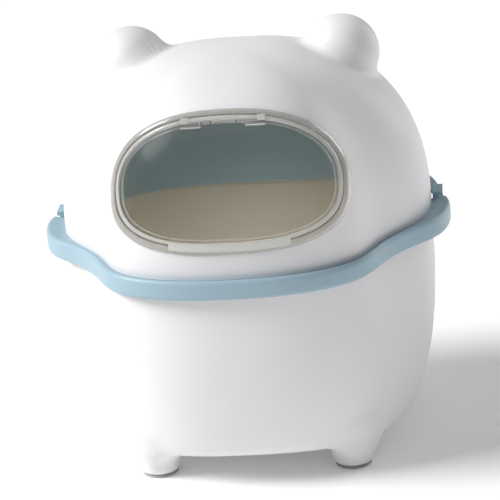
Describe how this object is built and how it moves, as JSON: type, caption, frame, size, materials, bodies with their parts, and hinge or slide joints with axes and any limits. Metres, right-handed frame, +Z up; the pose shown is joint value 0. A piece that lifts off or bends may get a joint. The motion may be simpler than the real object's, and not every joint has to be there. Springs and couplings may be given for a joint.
{
  "type": "hooded cat litter box",
  "caption": "Rounded hooded litter box with a white tub and hood, blue rim frame with side grips, short bear ears and a clear curved flap in a clear framed entrance.",
  "frame": {"origin": "on the floor under the middle of the box", "axes": "+Z up, the entrance faces -Y, the side grips are at +X and -X"},
  "size_m": [0.4281, 0.3886, 0.443],
  "materials": {
    "white_plastic": "fine matte moulded polypropylene",
    "blue_plastic": "satin moulded polypropylene",
    "cream_plastic": "matte moulded polypropylene",
    "clear_plastic": "clear polished",
    "grey_rubber": "matte",
    "steel": "drawn wire"
  },
  "bodies": {
    "tub": {"tub_shell": "white_plastic", "foot_pad_front_left": "grey_rubber", "foot_pad_front_right": "grey_rubber", "foot_pad_rear_left": "grey_rubber", "foot_pad_rear_right": "grey_rubber"},
    "frame": {"litter_pan": "cream_plastic", "rim_frame": "blue_plastic", "latch_pin_left": "steel", "latch_pin_right": "steel"},
    "hood": {"hood_shell": "white_plastic", "entry_frame": "clear_plastic", "entry_sill": "clear_plastic", "flap_pin_left": "steel", "flap_pin_right": "steel"},
    "flap": {"entry_flap": "clear_plastic"},
    "latch_l": {"latch_left": "blue_plastic"},
    "latch_r": {"latch_right": "blue_plastic"}
  },
  "joints": [
    {"name": "frame_lift", "type": "slide", "parent": "tub", "child": "frame", "axis": [0, 0, 1], "range_m": [0, 0.3]},
    {"name": "hood_lift", "type": "slide", "parent": "frame", "child": "hood", "axis": [0, 0, 1], "range_m": [0, 0.25]},
    {"name": "flap_swing", "type": "hinge", "parent": "hood", "child": "flap", "pos_m": [0, -0.14361, 0.38743], "axis": [-1, 0, 0], "range_deg": [0, 70]},
    {"name": "latch_left_turn", "type": "hinge", "parent": "frame", "child": "latch_l", "pos_m": [-0.20004, 0.05, 0.233], "axis": [0, -1, 0], "range_deg": [0, 75]},
    {"name": "latch_right_turn", "type": "hinge", "parent": "frame", "child": "latch_r", "pos_m": [0.20004, 0.05, 0.233], "axis": [0, 1, 0], "range_deg": [0, 75]}
  ]
}
